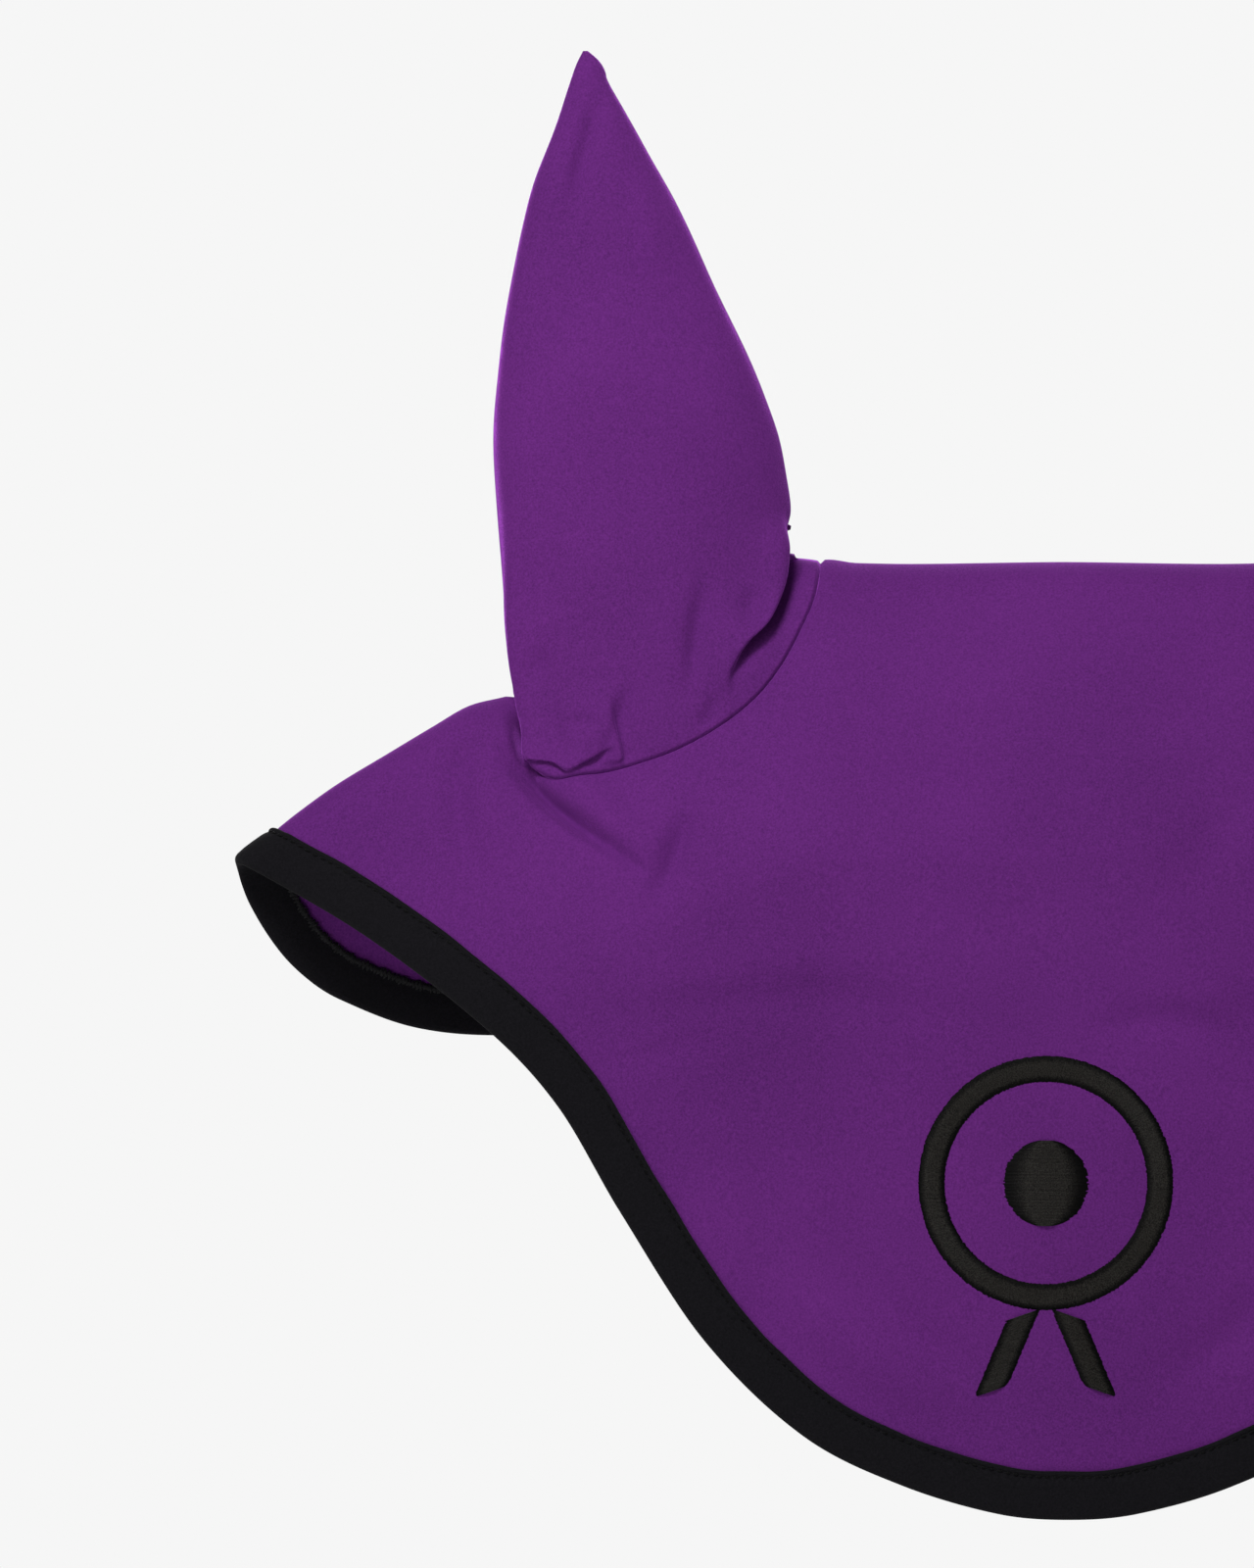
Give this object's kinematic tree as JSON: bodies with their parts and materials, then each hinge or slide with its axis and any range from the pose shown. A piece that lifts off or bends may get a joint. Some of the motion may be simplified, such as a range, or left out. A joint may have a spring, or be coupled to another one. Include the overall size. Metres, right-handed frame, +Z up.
{
  "type": "fly mask",
  "caption": "Horse ear bonnet with two sewn ear sleeves, a long pointed forehead flap, a short neck piece, a bound edge and a stitched rosette.",
  "frame": {"origin": "underside of the crown, midway between the two ear holes, where the bonnet sits on the horse's poll", "axes": "+Z up towards the ear tips, +X to the right as seen from in front, -Y out of the forehead side; left nodes are on the -X side"},
  "size_m": [0.5244, 0.0934, 0.4618],
  "materials": {
    "purple_cloth": "smooth matt stretch fabric, violet purple",
    "seam_thread": "overlocked seam allowance, purple thread",
    "black_binding": "matt black knitted binding tape",
    "black_thread": "black sewing thread",
    "embroidery_thread": "black satin-stitched embroidery thread",
    "stabiliser": "thin pale non-woven backing",
    "label_tape": "plain white woven tape, blank"
  },
  "bodies": {
    "bonnet": {"front_panel": "purple_cloth", "back_panel": "purple_cloth", "crown_seam": "seam_thread", "side_seam_left": "seam_thread", "side_seam_right": "seam_thread", "ear_left_base_seam": "seam_thread", "ear_right_base_seam": "seam_thread", "edge_binding": "black_binding", "binding_topstitch": "black_thread", "binding_understitch": "black_thread", "emblem_ring": "embroidery_thread", "emblem_centre": "embroidery_thread", "emblem_tail_left": "embroidery_thread", "emblem_tail_right": "embroidery_thread", "emblem_backing": "stabiliser", "care_label": "label_tape"},
    "left_ear": {"ear_left_front": "purple_cloth", "ear_left_back": "purple_cloth", "ear_left_seam": "seam_thread"},
    "right_ear": {"ear_right_front": "purple_cloth", "ear_right_back": "purple_cloth", "ear_right_seam": "seam_thread"}
  },
  "joints": [
    {"name": "left_ear_tilt", "type": "hinge", "parent": "bonnet", "child": "left_ear", "pos_m": [-0.1255, 0, -0.021], "axis": [0.9175, 0, 0.3977], "range_deg": [-40, 25], "deforming": ["ear_left_front", "ear_left_back"]},
    {"name": "right_ear_tilt", "type": "hinge", "parent": "bonnet", "child": "right_ear", "pos_m": [0.1255, 0, -0.021], "axis": [0.9175, 0, -0.3977], "range_deg": [-40, 25], "deforming": ["ear_right_front", "ear_right_back"]}
  ]
}
